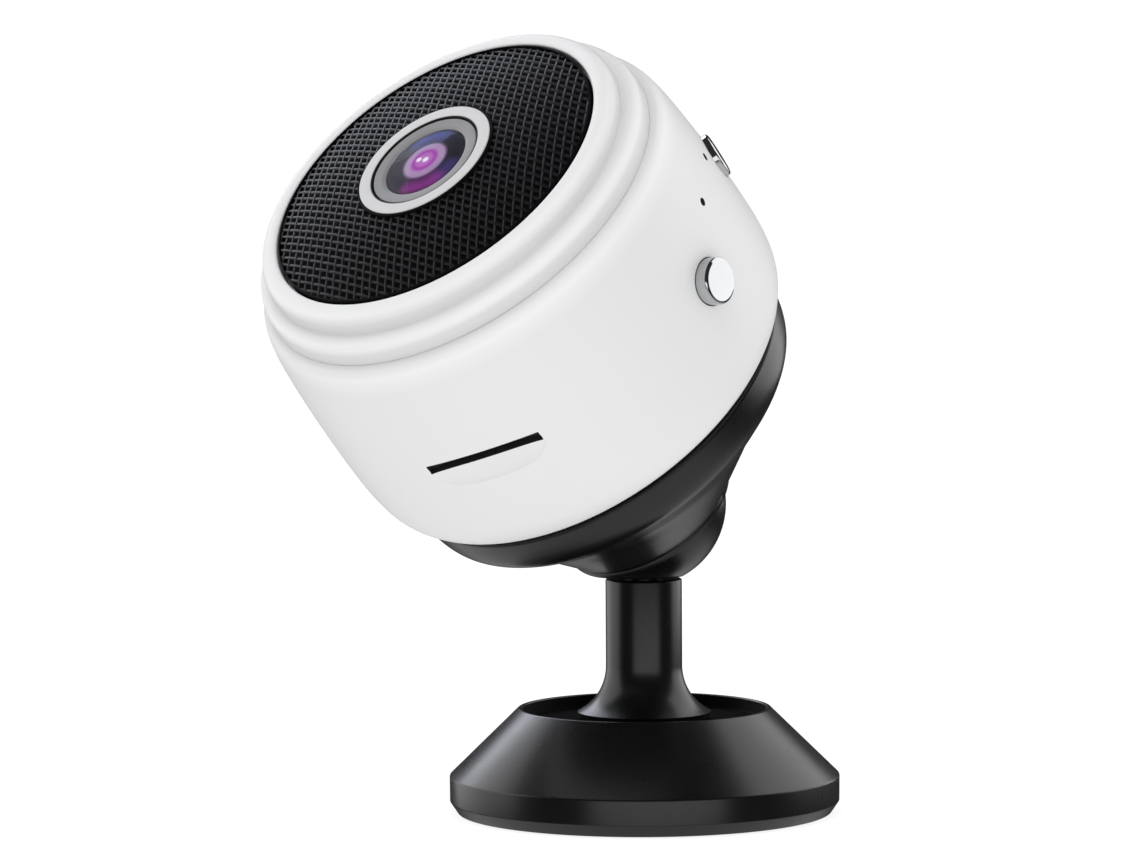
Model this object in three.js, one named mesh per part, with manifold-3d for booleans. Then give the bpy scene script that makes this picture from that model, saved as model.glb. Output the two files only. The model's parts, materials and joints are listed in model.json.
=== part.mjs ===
// Palm-sized security camera held by a magnet in a dish, on a ball joint and a weighted desk stand.
// Millimetres, +Z up. The origin is the centre of the base's underside, and the camera looks
// towards -Y and up. The head is built in its own frame: +Z runs out through the lens, along an
// axis that passes just above the ball's centre, "depth" is measured back from the front
// panel's edge, and "clock" is an angle about that axis, from the top of the head towards +X.

import * as THREE from 'three';
import { mergeVertices } from 'three/addons/utils/BufferGeometryUtils.js';
import Module from 'manifold-3d';

// Driving dimensions: stand
const BASE_R = 18.9;
const BASE_BOTTOM_R = 18.1;
const BASE_UNDERSIDE_Z = 0.1;
const BAND_LOW_Z = 1.25;
const BAND_TOP_Z = 3.55;
const RIM_R = 12.2;
const RIM_Z = 10.2;
const RECESS_Z = 9.0;
const POCKET_R = 16.2;
const POCKET_SIDE_Z = 4.2;
const POCKET_TOP_R = 13.0;
const POCKET_TOP_Z = 7.2;
const FOOT_R = 6.45;
const FOOT_TOP_Z = 9.85;
const STEM_R = 3.7;
const FLARE_R = 5.0;
const FLARE_TOP_Z = 14.3;
const PIN_R = 1.8;
const SPIGOT_R = 2.5;
const SCREW_R = 0.95;
const SCREW_TOP_Z = 16.0;

// Driving dimensions: ball joint and dish
const BALL_R = 8.0;
const BALL_Z = 30.0;
const SOCKET_R = 8.25;
const BALL_FLAT = 7.0;
const PIN_TOP = -1.6;
const BORE_TOP = -1.2;
const REST_TILT = 43.9;
const HEAD_OFFSET = 2.4;
const NECK_R = 8.75;
const NECK_DROP = 0.9;
const KINK_H = 6.2;
const DISH_RIM_R = 20.3;
const DISH_RIM_H = 13.7;
const DISH_FLOOR_H = 9.7;
const MAGNET_R = 11.5;
const PAD_R = 13.0;

// Driving dimensions: camera head
const PANEL_H = 43.0;
const HEAD_R = 22.6;
const HEAD_BACK = 28.8;
const HEAD_BACK_R = 20.2;
const CAVITY_R = 20.6;
const PANEL_R = 16.75;
const DOME_RISE = 1.8;
const LENS_RING_R = 6.95;
const LENS_RING_BORE = 5.75;
const LENS_FRONT = -1.64;
const BARREL_R = 5.3;
const GLASS_R = 4.2;
const GLASS_FRONT = -1.8;
const GLASS_CROWN = 0.35;
const SEAM = 4.5;
const BOARD_FRONT = 14.4;
const BOARD_BACK = 15.4;
const BOARD_R = 18.9;
const BUTTON_R = 2.2;
const RESET = { clock: 82.5, depth: 16.8, top: 23.7 };
const POWER = { clock: 40.0, depth: 15.0, top: 23.0 };
const PIN_HOLES = { led: { clock: 50.5, depth: 12.0 }, mic: { clock: 67.6, depth: 12.1 } };
const SLOT = { clock: 154.8, depth: 16.6, width: 12.0, height: 1.05, bow: 0.4 };
const USB = { clock: 235.0, depth: 17.1, width: 8.0, height: 2.9 };
const POST_CLOCKS = [5, 112, 270];
const POST_RADIUS = 17.0;
const COVER_SCREW_CLOCKS = [60, 180, 300];
const COVER_SCREW_RADIUS = 15.2;
const LED_CLOCKS = [30, 90, 150, 210, 270, 330];
const LED_RADIUS = 10.8;

// Clearances
const GAP = 0.3;
const FINE = 40;
const MEDIUM = 24;
const COARSE = 14;

const wasm = await Module();
wasm.setup();

// ---------------------------------------------------------------- geometry helpers

// Welds the vertices, drops triangles of no area and turns the faces outward.
function solidOf(source) {
  const bare = source.clone();
  bare.deleteAttribute('normal');
  bare.deleteAttribute('uv');
  const welded = mergeVertices(bare, 1e-4);
  const position = welded.getAttribute('position').array;
  const index = welded.getIndex().array;
  const kept = [];
  let volume = 0;
  const a = new THREE.Vector3();
  const b = new THREE.Vector3();
  const c = new THREE.Vector3();
  for (let i = 0; i < index.length; i += 3) {
    const [p, q, r] = [index[i], index[i + 1], index[i + 2]];
    if (p === q || q === r || r === p) continue;
    kept.push(p, q, r);
    a.fromArray(position, 3 * p);
    b.fromArray(position, 3 * q);
    c.fromArray(position, 3 * r);
    volume += a.dot(b.cross(c));
  }
  if (volume < 0) kept.reverse();
  const mesh = new wasm.Mesh({
    numProp: 3,
    vertProperties: Float32Array.from(position),
    triVerts: Uint32Array.from(kept),
  });
  return new wasm.Manifold(mesh);
}

function geometryOf(solid) {
  const result = solid.getMesh();
  const geometry = new THREE.BufferGeometry();
  geometry.setAttribute('position', new THREE.BufferAttribute(result.vertProperties, 3));
  geometry.setIndex(new THREE.BufferAttribute(result.triVerts, 1));
  geometry.computeVertexNormals();
  return geometry;
}

// A solid of revolution about Z from [radius, height] points.
function lathe(points, segments = MEDIUM) {
  const outline = points.map(([radius, height]) => new THREE.Vector2(radius, height));
  const first = points[0];
  const last = points[points.length - 1];
  if (first[0] !== 0 || last[0] !== 0) outline.push(outline[0].clone());
  const geometry = new THREE.LatheGeometry(outline, segments);
  geometry.rotateX(Math.PI / 2);
  return solidOf(geometry);
}

function disc(radius, low, high, segments = MEDIUM) {
  return lathe([[0, low], [radius, low], [radius, high], [0, high]], segments);
}

function ring(inner, outer, low, high, segments = MEDIUM) {
  return lathe([[inner, low], [outer, low], [outer, high], [inner, high]], segments);
}

// Points of an arc in the [radius, height] plane, both ends included.
function arc(radius, height, size, fromDeg, toDeg, steps) {
  const points = [];
  for (let i = 0; i <= steps; i += 1) {
    const angle = THREE.MathUtils.degToRad(fromDeg + (toDeg - fromDeg) * i / steps);
    points.push([radius + size * Math.cos(angle), height + size * Math.sin(angle)]);
  }
  return points;
}

// Height along the head's axis of a depth behind the front panel.
function level(depth) {
  return PANEL_H - depth;
}

// Turns [radius, depth] points into [radius, height] points.
function byDepth(points) {
  return points.map(([radius, depth]) => [radius, level(depth)]);
}

// Puts a shape on the head's side: its X becomes the tangent and its Y points outward.
function onSide(geometry, clock, radius, depth) {
  geometry.translate(0, radius, level(depth));
  geometry.rotateZ(-THREE.MathUtils.degToRad(clock));
  return geometry;
}

function sideBlock(width, thickness, height, place, radius) {
  const block = new THREE.BoxGeometry(width, thickness, height);
  return solidOf(onSide(block, place.clock, radius, place.depth));
}

function sideRod(rodRadius, innerEnd, outerEnd, place, segments = COARSE) {
  const rod = new THREE.CylinderGeometry(rodRadius, rodRadius, outerEnd - innerEnd, segments);
  return solidOf(onSide(rod, place.clock, (innerEnd + outerEnd) / 2, place.depth));
}

// A disc or ring parallel to the head's axis, off centre.
function postAt(radius, front, back, clock, distance, segments = COARSE) {
  const post = new THREE.CylinderGeometry(radius, radius, back - front, segments);
  post.rotateX(Math.PI / 2);
  return solidOf(onSide(post, clock, distance, (front + back) / 2));
}

function boardBlock(width, length, front, back, x, y) {
  const block = new THREE.BoxGeometry(width, length, back - front);
  block.translate(x, y, level((front + back) / 2));
  return solidOf(block);
}

function holeAll(body, tools) {
  return tools.reduce((rest, tool) => rest.subtract(tool), body);
}

function joinAll(body, tools) {
  return tools.reduce((rest, tool) => rest.add(tool), body);
}

// ---------------------------------------------------------------- materials

function material(color, roughness, metalness = 0) {
  return new THREE.MeshStandardMaterial({ color, roughness, metalness });
}

const whitePlastic = material(0xe9e9e9, 0.45);
const blackPlastic = material(0x141415, 0.28);
const panelBlack = material(0x16161a, 0.5);
const greyPlastic = material(0x8f9092, 0.4);
const barrelBlack = material(0x101012, 0.35);
const lensGlass = material(0x241a33, 0.05);
const chrome = material(0xd8dadc, 0.08, 1);
const steel = material(0x9b9da0, 0.35, 1);
const rubber = material(0x1c1c1d, 0.85);
const boardGreen = material(0x1d4a2c, 0.55);
const chipBlack = material(0x1b1b1d, 0.5);
const nickel = material(0xb7b4a8, 0.3, 1);
const ledClear = material(0xd9e2ee, 0.15);
const cellSilver = material(0xa9adb3, 0.4, 0.4);
const copper = material(0xb5703f, 0.4, 1);

function part(name, solid, finish) {
  const mesh = new THREE.Mesh(geometryOf(solid), finish);
  mesh.name = name;
  return mesh;
}

// ---------------------------------------------------------------- stand

function baseShell() {
  const body = lathe([
    [POCKET_R, BASE_UNDERSIDE_Z],
    [BASE_BOTTOM_R, BASE_UNDERSIDE_Z],
    [BASE_R - 0.05, BAND_LOW_Z],
    [BASE_R, BAND_LOW_Z + 0.4],
    [BASE_R, BAND_TOP_Z],
    [BASE_R - 0.25, BAND_TOP_Z + 0.25],
    [RIM_R + 0.25, RIM_Z - 0.15],
    [RIM_R, RIM_Z],
    [RIM_R - 0.3, RIM_Z - 0.1],
    [RIM_R - 0.9, RECESS_Z],
    [SPIGOT_R + GAP, RECESS_Z],
    [SPIGOT_R + GAP, POCKET_TOP_Z],
    [POCKET_TOP_R, POCKET_TOP_Z],
    [POCKET_R, POCKET_SIDE_Z],
  ], FINE);
  return part('base_shell', body, blackPlastic);
}

function baseWeight() {
  const body = lathe([
    [5.2, 1.3],
    [POCKET_R - GAP, 1.3],
    [POCKET_R - GAP, POCKET_SIDE_Z - 0.2],
    [POCKET_TOP_R - GAP, POCKET_TOP_Z - 0.4],
    [5.2, POCKET_TOP_Z - 0.4],
  ], MEDIUM);
  return part('base_weight', body, steel);
}

function stem() {
  const columnTop = BALL_Z - BALL_FLAT - GAP;
  const flareEnd = 240;
  const body = lathe([
    [0, BALL_Z + PIN_TOP],
    [PIN_R - 0.3, BALL_Z + PIN_TOP],
    [PIN_R, BALL_Z + PIN_TOP - 0.3],
    [PIN_R, columnTop],
    [STEM_R - 0.15, columnTop],
    [STEM_R, columnTop - 0.15],
    ...arc(STEM_R + FLARE_R, FLARE_TOP_Z, FLARE_R, 180, flareEnd, 6),
    [FOOT_R - 0.25, FOOT_TOP_Z],
    [FOOT_R, FOOT_TOP_Z - 0.15],
    [FOOT_R, RECESS_Z + GAP],
    [SPIGOT_R, RECESS_Z + GAP],
    [SPIGOT_R, POCKET_TOP_Z + 0.1],
    [SCREW_R + GAP, POCKET_TOP_Z + 0.1],
    [SCREW_R + GAP, SCREW_TOP_Z + 0.5],
    [0, SCREW_TOP_Z + 0.5],
  ], MEDIUM);
  return part('stem', body, blackPlastic);
}

function stemScrew() {
  const headTop = POCKET_TOP_Z - 1.2;
  const body = lathe([
    [0, headTop - 1.7],
    [1.2, headTop - 1.7],
    [1.2, headTop - 2.3],
    [2.4, headTop - 2.3],
    [2.8, headTop - 1.6],
    [2.8, headTop],
    [SCREW_R, headTop],
    [SCREW_R, SCREW_TOP_Z],
    [0, SCREW_TOP_Z],
  ], COARSE);
  return part('stem_screw', body, steel);
}

function makeStand() {
  const stand = new THREE.Group();
  stand.add(baseShell());
  stand.add(baseWeight());
  stand.add(part('base_pad', disc(POCKET_R - GAP, 0, 1.0, MEDIUM), rubber));
  stand.add(stem());
  stand.add(part('stem_washer', ring(SCREW_R + GAP, 3.8, 6.3, 6.9, COARSE), steel));
  stand.add(stemScrew());
  return stand;
}

// ---------------------------------------------------------------- ball and dish

// The ball turns on the stem's pin, and its underside is cut flat above the column.
function makeBall() {
  const flatEdge = -THREE.MathUtils.radToDeg(Math.asin(BALL_FLAT / BALL_R));
  const body = lathe([
    [0, BORE_TOP],
    [PIN_R + GAP, BORE_TOP],
    [PIN_R + GAP, -BALL_FLAT],
    ...arc(0, 0, BALL_R, flatEdge, 80, 12),
    [0, BALL_R],
  ], MEDIUM);
  const mesh = part('ball', body, blackPlastic);
  mesh.position.z = BALL_Z;
  return mesh;
}

// The neck ring is centred on the ball and the rim on the head's axis, so the funnel between
// them is a skewed cone. The magnet's floor is level with the head's axis.
function holderDish() {
  const outside = lathe([
    [0, -NECK_DROP],
    [NECK_R, -NECK_DROP],
    [NECK_R + 0.15, -NECK_DROP + 0.4],
    [15.4, KINK_H],
    [16.7, 7.22],
    [18.15, 8.45],
    [19.1, 9.3],
    [19.6, 9.95],
    [19.92, 10.8],
    [DISH_RIM_R - 0.16, 12.0],
    [DISH_RIM_R, DISH_RIM_H - 0.2],
    [DISH_RIM_R - 0.2, DISH_RIM_H],
    [DISH_RIM_R - 0.9, DISH_RIM_H],
    [DISH_RIM_R - 1.2, DISH_RIM_H - 0.6],
    [15.4, DISH_FLOOR_H],
    [0, DISH_FLOOR_H],
  ], FINE);
  const skewed = outside.warp((vertex) => {
    const below = Math.max(0, (KINK_H - vertex[2]) / (KINK_H + NECK_DROP));
    vertex[1] -= HEAD_OFFSET * below;
  });
  const socket = lathe(arc(0, 0, SOCKET_R, -90, 90, 22), FINE).translate([0, -HEAD_OFFSET, 0]);
  return part('holder_dish', skewed.subtract(socket), blackPlastic);
}

function holderMagnet() {
  const low = DISH_FLOOR_H + GAP;
  return part('holder_magnet', disc(MAGNET_R, low, low + 1.9), nickel);
}

function holderPad() {
  const low = DISH_FLOOR_H + 2.5;
  return part('holder_pad', disc(PAD_R, low, low + 0.9), rubber);
}

// ---------------------------------------------------------------- camera head: casing

function frontBezel() {
  const body = lathe(byDepth([
    [PANEL_R + 0.2, 1.5],
    [PANEL_R + 0.2, 0.1],
    [PANEL_R + 0.4, -0.06],
    [17.65, -0.1],
    [18.15, 0.0],
    [18.6, 0.35],
    [18.88, 0.9],
    [18.92, 2.0],
    [19.4, 2.14],
    [19.85, 2.36],
    [20.2, 2.74],
    [20.42, 3.4],
    [20.46, SEAM],
    [CAVITY_R - GAP, SEAM],
    [CAVITY_R - GAP, 7.0],
    [18.9, 7.0],
    [18.6, 4.2],
    [17.4, 3.2],
    [14.5, 3.2],
    [14.5, 1.5],
  ]), FINE);
  const posts = POST_CLOCKS.map((clock) => postAt(1.9, 2.6, 14.1, clock, POST_RADIUS));
  const bores = POST_CLOCKS.map((clock) => postAt(1.0, 11.0, 15.0, clock, POST_RADIUS));
  return part('front_bezel', holeAll(joinAll(body, posts), bores), whitePlastic);
}

function shellBody() {
  return lathe(byDepth([
    [CAVITY_R, SEAM + GAP],
    [21.05, SEAM + GAP],
    [21.34, 5.14],
    [21.62, 5.85],
    [21.8, 6.7],
    [22.17, 9.9],
    [22.4, 13.5],
    [22.53, 17.4],
    [HEAD_R, 21.0],
    [22.5, 24.0],
    [22.15, 26.3],
    [21.55, 27.6],
    [20.85, 28.4],
    [HEAD_BACK_R, HEAD_BACK],
    [18.0, HEAD_BACK],
    [18.0, 27.0],
    [12.6, 27.0],
    [12.6, 25.5],
    [CAVITY_R - 1.2, 25.5],
    [CAVITY_R, 24.3],
  ]), FINE);
}

// The slot's two long edges bow towards the front, which makes it look straight on the round body.
function slotCutter() {
  const mouth = new THREE.Shape();
  mouth.moveTo(-SLOT.width / 2, SLOT.height / 2);
  mouth.quadraticCurveTo(0, SLOT.height / 2 - 2 * SLOT.bow, SLOT.width / 2, SLOT.height / 2);
  mouth.lineTo(SLOT.width / 2, -SLOT.height / 2);
  mouth.quadraticCurveTo(0, -SLOT.height / 2 - 2 * SLOT.bow, -SLOT.width / 2, -SLOT.height / 2);
  const cutter = new THREE.ExtrudeGeometry(mouth, { depth: 6, bevelEnabled: false, curveSegments: 10 });
  cutter.translate(0, 0, -3);
  cutter.rotateX(-Math.PI / 2);
  return solidOf(onSide(cutter, SLOT.clock, HEAD_R, SLOT.depth));
}

// A shallow thumb scoop on the back side of the card slot, bent to follow the round body.
function scoop() {
  const bowl = new THREE.SphereGeometry(1, 24, 12);
  bowl.scale(6.6, 0.5, 2.6);
  const spots = bowl.attributes.position;
  for (let i = 0; i < spots.count; i += 1) {
    const drop = HEAD_R - Math.sqrt(HEAD_R ** 2 - spots.getX(i) ** 2);
    spots.setY(i, spots.getY(i) - drop);
  }
  const half = new THREE.BoxGeometry(20, 6, 6);
  half.translate(0, 0, -3);
  const cutter = solidOf(bowl).intersect(solidOf(half)).translate([0, 0, 0.1]);
  return solidOf(onSide(geometryOf(cutter), SLOT.clock, 22.7, SLOT.depth));
}

function bodyShell() {
  const cutters = [
    slotCutter(),
    scoop(),
    sideBlock(USB.width, 6, USB.height, USB, HEAD_R),
    sideRod(BUTTON_R + GAP, 19.5, 25, RESET),
    sideRod(BUTTON_R + GAP, 19.5, 25, POWER),
    sideRod(0.4, 19.5, 25, PIN_HOLES.led, 10),
    sideRod(0.4, 19.5, 25, PIN_HOLES.mic, 10),
    ...COVER_SCREW_CLOCKS.map((clock) => postAt(1.0, 25, 28, clock, COVER_SCREW_RADIUS, 12)),
  ];
  return part('body_shell', holeAll(shellBody(), cutters), whitePlastic);
}

function backCover() {
  const body = lathe(byDepth([
    [0, 27.3],
    [17.7, 27.3],
    [17.7, 28.75],
    [14.2, 29.2],
    [12.5, 29.4],
    [0, 29.4],
  ]), MEDIUM);
  const seats = COVER_SCREW_CLOCKS.map((clock) => postAt(2.1, 27.9, 30, clock, COVER_SCREW_RADIUS, 16));
  const bores = COVER_SCREW_CLOCKS.map((clock) => postAt(1.0, 27, 29, clock, COVER_SCREW_RADIUS, 12));
  return part('back_cover', holeAll(body, [...seats, ...bores]), whitePlastic);
}

// A pan-head screw that points from its head at "back" towards the front of the camera.
function screw(name, clock, distance, back, headRadius, length) {
  const head = postAt(headRadius, back - 0.7, back, clock, distance, 16);
  const shank = postAt(0.65, back - length, back - 0.5, clock, distance, 10);
  return part(name, head.add(shank), steel);
}

// ---------------------------------------------------------------- camera head: front and lens

function frontPanel() {
  const dome = [16.7, 14.5, 12, 9.5, LENS_RING_R + GAP];
  const rise = (radius) => -DOME_RISE * (1 - (radius / PANEL_R) ** 2);
  const body = lathe(byDepth([
    [LENS_RING_R + GAP, 1.2],
    [PANEL_R - 0.1, 1.2],
    ...dome.map((radius) => [radius, rise(radius)]),
  ]), MEDIUM);
  return part('front_panel', body, panelBlack);
}

function lensRing() {
  const body = lathe(byDepth([
    [LENS_RING_BORE, 1.9],
    [LENS_RING_R, 1.9],
    [LENS_RING_R, LENS_FRONT + 0.1],
    [LENS_RING_R - 0.1, LENS_FRONT],
    [LENS_RING_BORE + 0.1, LENS_FRONT],
    [LENS_RING_BORE, LENS_FRONT + 0.1],
  ]), MEDIUM);
  return part('lens_ring', body, whitePlastic);
}

function lensBezel() {
  const body = lathe(byDepth([
    [GLASS_R + GAP, 0.2],
    [LENS_RING_BORE - GAP, 0.2],
    [LENS_RING_BORE - GAP, LENS_FRONT + 0.14],
    [GLASS_R + GAP, LENS_FRONT + 0.18],
  ]), MEDIUM);
  return part('lens_bezel', body, greyPlastic);
}

function lensBarrel() {
  const body = lathe(byDepth([
    [3.3, -0.3],
    [GLASS_R, -0.3],
    [GLASS_R, 0.5],
    [BARREL_R, 0.5],
    [BARREL_R, 11.4],
    [2.6, 11.4],
    [2.6, 8.8],
    [3.3, 8.8],
  ]), MEDIUM);
  return part('lens_barrel', body, barrelBlack);
}

// A domed front element that stands a little proud of the bezel.
function frontGlass() {
  const crownDepth = (radius) => GLASS_FRONT + GLASS_CROWN * (radius / GLASS_R) ** 2;
  const body = lathe(byDepth([
    [0, -1.2],
    [2.4, -1.2],
    [GLASS_R, -1.1],
    ...[GLASS_R, 3.1, 2.1, 1.0, 0].map((radius) => [radius, crownDepth(radius)]),
  ]), MEDIUM);
  return part('lens_front_glass', body, lensGlass);
}

function rearGlass() {
  const body = lathe(byDepth([[0, 4.8], [3.0, 4.4], [3.0, 2.4], [1.6, 1.6], [0, 1.3]]), COARSE);
  return part('lens_rear_glass', body, lensGlass);
}

function lensHolder() {
  const block = boardBlock(13, 13, 6.4, 14.1, 0, 0);
  const bore = disc(BARREL_R + GAP, level(11.7), level(6.0), MEDIUM);
  const chamber = boardBlock(8.4, 8.4, 11.4, 15, 0, 0);
  return part('lens_holder', holeAll(block, [bore, chamber]), barrelBlack);
}

function irBoard() {
  const body = ring(7.3, 14.0, level(3.1), level(2.4), MEDIUM);
  return part('ir_board', body, boardGreen);
}

function irLed(number, clock) {
  const block = new THREE.BoxGeometry(2.8, 2.8, 0.6);
  return part(`ir_led_${number}`, solidOf(onSide(block, clock, LED_RADIUS, 1.8)), ledClear);
}

// ---------------------------------------------------------------- camera head: electronics

function mainBoard() {
  const bores = POST_CLOCKS.map((clock) => postAt(1.0, 14, 16, clock, POST_RADIUS, 12));
  const body = disc(BOARD_R, level(BOARD_BACK), level(BOARD_FRONT), MEDIUM);
  return part('main_board', holeAll(body, bores), boardGreen);
}

function cardSocket() {
  const body = sideBlock(14, 13.0, 2.0, { clock: SLOT.clock, depth: 16.7 }, 12.5);
  const mouth = sideBlock(11.4, 12, 0.9, { clock: SLOT.clock, depth: 16.6 }, 14.6);
  return part('card_socket', body.subtract(mouth), nickel);
}

function usbSocket() {
  const body = sideBlock(7.5, 5.4, 2.6, USB, 17.4);
  const mouth = sideBlock(6.7, 4.2, 1.8, USB, 18.4);
  return part('usb_socket', body.subtract(mouth), nickel);
}

function battery() {
  const body = boardBlock(27, 21, 19.0, 24.6, 0, 0);
  return part('battery', body, cellSilver);
}

function antenna() {
  const strip = new THREE.Shape();
  const from = THREE.MathUtils.degToRad(150);
  const to = THREE.MathUtils.degToRad(215);
  strip.absarc(0, 0, 20.2, from, to, false);
  strip.absarc(0, 0, 19.8, to, from, true);
  const solid = { depth: 4.5, bevelEnabled: false, curveSegments: 16 };
  const geometry = new THREE.ExtrudeGeometry(strip, solid);
  geometry.translate(0, 0, level(12.5));
  return part('wifi_antenna', solidOf(geometry), copper);
}

function microphone() {
  const body = sideRod(2.0, 17.4, 19.6, PIN_HOLES.mic, COARSE);
  return part('microphone', body, nickel);
}

function statusLed() {
  const place = { clock: PIN_HOLES.led.clock, depth: 12.0 };
  return part('status_led', sideBlock(1.8, 1.4, 4.0, place, 18.1), ledClear);
}

// ---------------------------------------------------------------- camera head: buttons

// The cap slides through the shell, and its flange keeps it from coming out.
function button(name, place) {
  const cap = sideRod(BUTTON_R, 20.0, place.top - 0.15, place, 20);
  const crown = sideRod(BUTTON_R - 0.15, place.top - 0.2, place.top, place, 20);
  const flange = sideRod(BUTTON_R + 0.7, 19.6, 20.05, place, 16);
  return part(name, joinAll(cap, [crown, flange]), chrome);
}

function switchBlock(name, clock, front, back) {
  const place = { clock, depth: (front + back) / 2 };
  return part(name, sideBlock(3.0, 4.0, back - front, place, 16.8), chipBlack);
}

function makeHead() {
  const head = new THREE.Group();
  const tilt = THREE.MathUtils.degToRad(REST_TILT);
  head.position.set(0, HEAD_OFFSET * Math.cos(tilt), BALL_Z + HEAD_OFFSET * Math.sin(tilt));
  head.rotation.x = tilt;
  head.add(holderDish());
  head.add(holderMagnet());
  head.add(holderPad());
  head.add(frontBezel());
  head.add(bodyShell());
  head.add(backCover());
  head.add(part('back_plate', disc(11.8, level(27.0), level(25.7)), steel));
  COVER_SCREW_CLOCKS.forEach((clock, i) => {
    head.add(screw(`back_cover_screw_${i + 1}`, clock, COVER_SCREW_RADIUS, 28.9, 1.7, 4.2));
  });
  head.add(frontPanel());
  head.add(lensRing());
  head.add(lensBezel());
  head.add(lensBarrel());
  head.add(frontGlass());
  head.add(part('lens_aperture', ring(1.5, GLASS_R, level(-0.6), level(-0.9)), barrelBlack));
  head.add(rearGlass());
  head.add(lensHolder());
  head.add(part('image_sensor', boardBlock(6.4, 6.4, 12.6, 14.1, 0, 0), chipBlack));
  head.add(irBoard());
  LED_CLOCKS.forEach((clock, i) => head.add(irLed(i + 1, clock)));
  head.add(mainBoard());
  POST_CLOCKS.forEach((clock, i) => {
    head.add(screw(`board_screw_${i + 1}`, clock, POST_RADIUS, 16.4, 1.5, 4.5));
  });
  head.add(part('processor', boardBlock(7.5, 7.5, 12.9, 14.1, -10.9, 2.5), chipBlack));
  head.add(cardSocket());
  head.add(usbSocket());
  head.add(battery());
  head.add(antenna());
  head.add(microphone());
  head.add(statusLed());
  head.add(switchBlock('reset_switch', RESET.clock, 15.7, 18.4));
  head.add(switchBlock('power_switch', POWER.clock, 12.9, 14.1));
  head.add(button('reset_button', RESET));
  head.add(button('power_button', POWER));
  return head;
}

const camera = new THREE.Group();
camera.add(makeStand());
camera.add(makeBall());
camera.add(makeHead());

export default camera;
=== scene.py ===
import json
import math

import bmesh
import bpy
from mathutils import Matrix, Vector


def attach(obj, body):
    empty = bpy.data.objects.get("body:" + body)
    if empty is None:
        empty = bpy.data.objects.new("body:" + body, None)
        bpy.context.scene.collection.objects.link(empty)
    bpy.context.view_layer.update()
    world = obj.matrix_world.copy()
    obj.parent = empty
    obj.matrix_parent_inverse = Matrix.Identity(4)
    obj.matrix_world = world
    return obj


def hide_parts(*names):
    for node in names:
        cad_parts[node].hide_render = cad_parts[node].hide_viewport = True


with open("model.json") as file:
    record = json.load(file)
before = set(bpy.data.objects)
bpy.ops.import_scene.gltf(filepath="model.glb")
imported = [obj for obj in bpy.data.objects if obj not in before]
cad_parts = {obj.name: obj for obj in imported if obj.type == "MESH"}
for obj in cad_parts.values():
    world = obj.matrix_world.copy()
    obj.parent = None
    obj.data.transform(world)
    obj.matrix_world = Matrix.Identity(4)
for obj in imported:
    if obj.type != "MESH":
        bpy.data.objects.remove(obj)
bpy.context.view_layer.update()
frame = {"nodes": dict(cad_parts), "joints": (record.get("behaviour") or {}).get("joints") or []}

# Outlines are [radius, height] or [radius, depth] points in millimetres, and every mesh is made in metres.
# The head is built in its own frame: +Z runs out through the lens, along an axis that passes just above the
# ball's centre, depth is measured back from the front panel's edge, and clock is an angle about that axis,
# from the top of the head to +X.
MM = 0.001
SEGMENTS = 192

joints = {joint["name"]: joint for joint in frame["joints"]}
ball_centre = Vector(joints["tilt"]["pos_m"])
head_axis = Vector(joints["head_spin"]["axis"])
rest_tilt = math.atan2(-head_axis.y, head_axis.z)
STAND = Matrix.Identity(4)
BALL = Matrix.Translation(ball_centre)
HEAD = Matrix.Translation(joints["head_spin"]["pos_m"]) @ Matrix.Rotation(rest_tilt, 4, "X")
HEAD_OFFSET = 2.4

# Stand
BASE_R = 18.9
BASE_BOTTOM_R = 18.1
BASE_UNDERSIDE = 0.1
BAND_LOW = 1.25
BAND_TOP = 3.55
RIM_R = 12.2
RIM_Z = 10.2
RECESS_Z = 9.0
POCKET_R = 16.2
FOOT_R = 6.45
FOOT_TOP = 9.85
STEM_R = 3.7
FLARE_R = 5.0
FLARE_TOP = 14.3
COLUMN_TOP = 22.7
PIN_R = 1.8
PIN_TOP = 28.4

# Ball and dish, as heights above the ball's centre
BALL_R = 8.0
BALL_FLAT = 7.0
SOCKET_R = 8.25
DISH_FLOOR = 9.7
DISH_RIM_R = 20.3
NECK_DROP = 0.9
KINK_H = 6.2
MAGNET_R = 11.5
PAD_R = 13.0

# Camera head
PANEL_H = 43.0
HEAD_R = 22.59
CAVITY_R = 20.6
PANEL_R = 16.75
SEAM = 4.5
LENS_RING_R = 6.95
LENS_BORE_R = 5.75
LENS_FRONT = -1.64
GLASS_R = 4.2
BUTTON_R = 2.2
RESET = (82.5, 16.8)
RESET_TOP = 23.7
POWER = (40.0, 15.0)
POWER_TOP = 23.0
LED_HOLE = (50.5, 12.0)
MIC_HOLE = (67.6, 12.1)
PIN_HOLE_R = 0.4
SLOT = (154.8, 16.6)
SLOT_WIDTH = 12.0
SLOT_HEIGHT = 1.05
SLOT_BOW = 0.4
SCOOP = (6.6, 2.6, 0.5)
SCOOP_CENTRE_R = 22.7
USB = (235.0, 17.1)
USB_WIDTH = 8.0
USB_HEIGHT = 2.9
COVER_SCREW_CLOCKS = (60, 180, 300)
COVER_SCREW_RADIUS = 15.2


# ------------------------------------------------------------------ outlines

def level(depth):
    return PANEL_H - depth


def by_depth(points):
    return [(radius, level(depth)) for radius, depth in points]


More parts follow.
